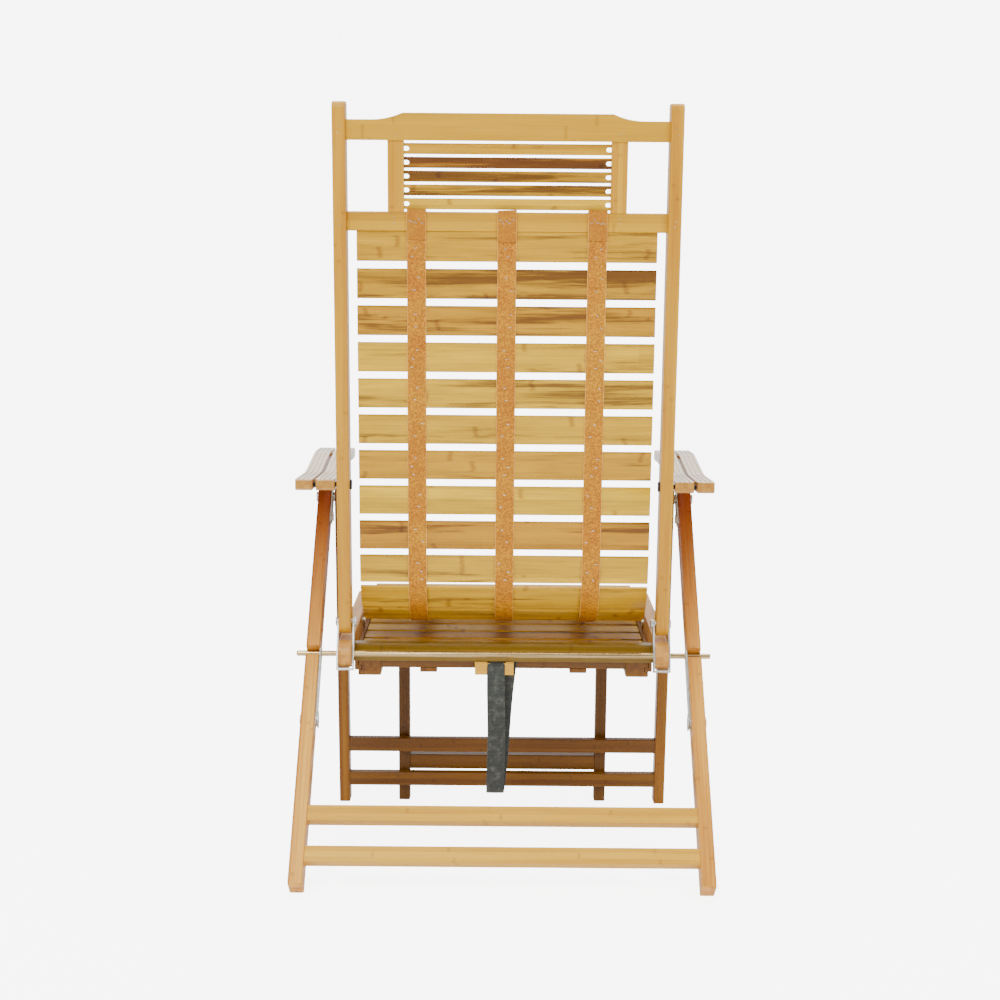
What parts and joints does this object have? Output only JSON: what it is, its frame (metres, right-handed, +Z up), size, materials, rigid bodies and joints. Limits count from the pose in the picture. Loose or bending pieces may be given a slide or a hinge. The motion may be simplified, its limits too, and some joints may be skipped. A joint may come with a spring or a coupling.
{
  "type": "folding recliner chair",
  "caption": "Folding bamboo recliner with a slatted back and seat hung on leather straps, hinged armrests on racks, and a slatted footrest that slides out from under the seat.",
  "frame": {"origin": "middle of the bounding box at floor level", "axes": "+Z up, sitter faces -Y, +X is the sitter's left"},
  "size_m": [0.6768, 0.6632, 1.2007],
  "materials": {
    "bamboo": "clear-lacquered laminated bamboo",
    "dark_bamboo": "clear-lacquered laminated bamboo, browner boards",
    "slat_bamboo": "lacquered split bamboo, skin side out",
    "leather": "grained orange-brown leather",
    "webbing": "woven dark grey webbing",
    "steel": "zinc-plated steel"
  },
  "bodies": {
    "front_frame": {"front_leg_left": "dark_bamboo", "front_leg_right": "dark_bamboo", "front_upper_rail": "dark_bamboo", "front_lower_rail": "dark_bamboo", "armrest_pins": "steel", "apex_bolts": "steel", "seat_pivot_nuts": "steel"},
    "rear_frame": {"rear_leg_left": "bamboo", "rear_leg_right": "bamboo", "rear_upper_stretcher": "bamboo", "rear_lower_stretcher": "bamboo", "apex_plates": "steel", "apex_plate_screws": "steel", "link_thumb_bolts": "steel"},
    "link_plates": {"link_plate_left": "steel", "link_plate_right": "steel"},
    "seat": {"rod": "steel", "seat_rail_left": "bamboo", "seat_rail_right": "bamboo", "seat_rear_rail": "bamboo", "seat_front_rail": "bamboo", "seat_pivot_bolts": "steel", "footrest_runners": "bamboo", "webbing_block": "bamboo", "seat_slats": "slat_bamboo", "seat_straps": "leather", "stirrups": "steel"},
    "webbing": {"webbing_loop": "webbing"},
    "footrest": {"footrest_side_rail_left": "bamboo", "footrest_side_rail_right": "bamboo", "footrest_rear_rail": "bamboo", "footrest_front_rail": "bamboo", "footrest_battens": "bamboo", "footrest_slats": "slat_bamboo", "footrest_leg_bolts": "steel"},
    "footrest_legs": {"footrest_leg_left": "dark_bamboo", "footrest_leg_right": "dark_bamboo", "footrest_leg_rail": "dark_bamboo"},
    "stile_bolts": {"stile_bolts": "steel", "bend_slats": "slat_bamboo", "bend_straps": "leather"},
    "back": {"back_stile_left": "bamboo", "back_stile_right": "bamboo", "crest_rail": "bamboo", "back_cross_rail": "bamboo", "head_stiles": "bamboo", "head_slats": "slat_bamboo", "back_slats": "slat_bamboo", "back_straps": "leather"},
    "armrest_pivots": {"armrest_pivot_left": "steel", "armrest_pivot_right": "steel"},
    "armrests": {"armrest_inner_board_left": "bamboo", "armrest_inner_board_right": "bamboo", "armrest_outer_board_left": "bamboo", "armrest_outer_board_right": "bamboo", "armrest_dowels_left": "bamboo", "armrest_dowels_right": "bamboo", "armrest_rack_left": "steel", "armrest_rack_right": "steel"}
  },
  "joints": [
    {"name": "fold", "type": "hinge", "parent": "front_frame", "child": "rear_frame", "pos_m": [0, -0.128, 0.562], "axis": [-1, 0, 0], "range_deg": [0, 45]},
    {"name": "link_swing", "type": "hinge", "parent": "rear_frame", "child": "link_plates", "pos_m": [0, 0.14037, 0.2295], "axis": [-1, 0, 0], "range_deg": [0, 85.44]},
    {"name": "seat_swing", "type": "hinge", "parent": "link_plates", "child": "seat", "pos_m": [0, 0.069, 0.3235], "axis": [-1, 0, 0], "range_deg": [-71.15, 0]},
    {"name": "webbing_swing", "type": "hinge", "parent": "seat", "child": "webbing", "pos_m": [0, 0.039, 0.305], "axis": [-1, 0, 0], "range_deg": [-59.29, 0], "deforming": ["webbing_loop"]},
    {"name": "footrest_slide", "type": "slide", "parent": "seat", "child": "footrest", "axis": [0, -0.9984, 0.0558], "range_m": [0, 0.25]},
    {"name": "footrest_leg_swing", "type": "hinge", "parent": "footrest", "child": "footrest_legs", "pos_m": [0, -0.197, 0.286], "axis": [-1, 0, 0], "range_deg": [-59.29, 0]},
    {"name": "back_close", "type": "hinge", "parent": "seat", "child": "stile_bolts", "pos_m": [0, 0.053, 0.374], "axis": [-1, 0, 0], "range_deg": [-70, 0]},
    {"name": "recline", "type": "hinge", "parent": "stile_bolts", "child": "back", "pos_m": [0, 0.053, 0.374], "axis": [-1, 0, 0], "range_deg": [0, 35], "deforming": ["bend_slats", "bend_straps"]},
    {"name": "armrest_raise", "type": "hinge", "parent": "back", "child": "armrest_pivots", "pos_m": [0, 0.08063, 0.60233], "axis": [-1, 0, 0], "range_deg": [0, 94.3]},
    {"name": "armrest_follow", "type": "hinge", "parent": "armrest_pivots", "child": "armrests", "pos_m": [0, 0.08063, 0.60233], "axis": [-1, 0, 0], "range_deg": [-25.2, 0]}
  ],
  "couplings": [
    {"joint": "link_swing", "follows": "fold", "ratio": 1.8987},
    {"joint": "seat_swing", "follows": "fold", "ratio": -1.5811},
    {"joint": "webbing_swing", "follows": "fold", "ratio": -1.3176},
    {"joint": "footrest_leg_swing", "follows": "fold", "ratio": -1.3176},
    {"joint": "back_close", "follows": "fold", "ratio": -1.5556},
    {"joint": "armrest_raise", "follows": "fold", "ratio": 2.0956},
    {"joint": "armrest_follow", "follows": "recline", "ratio": -0.72}
  ]
}
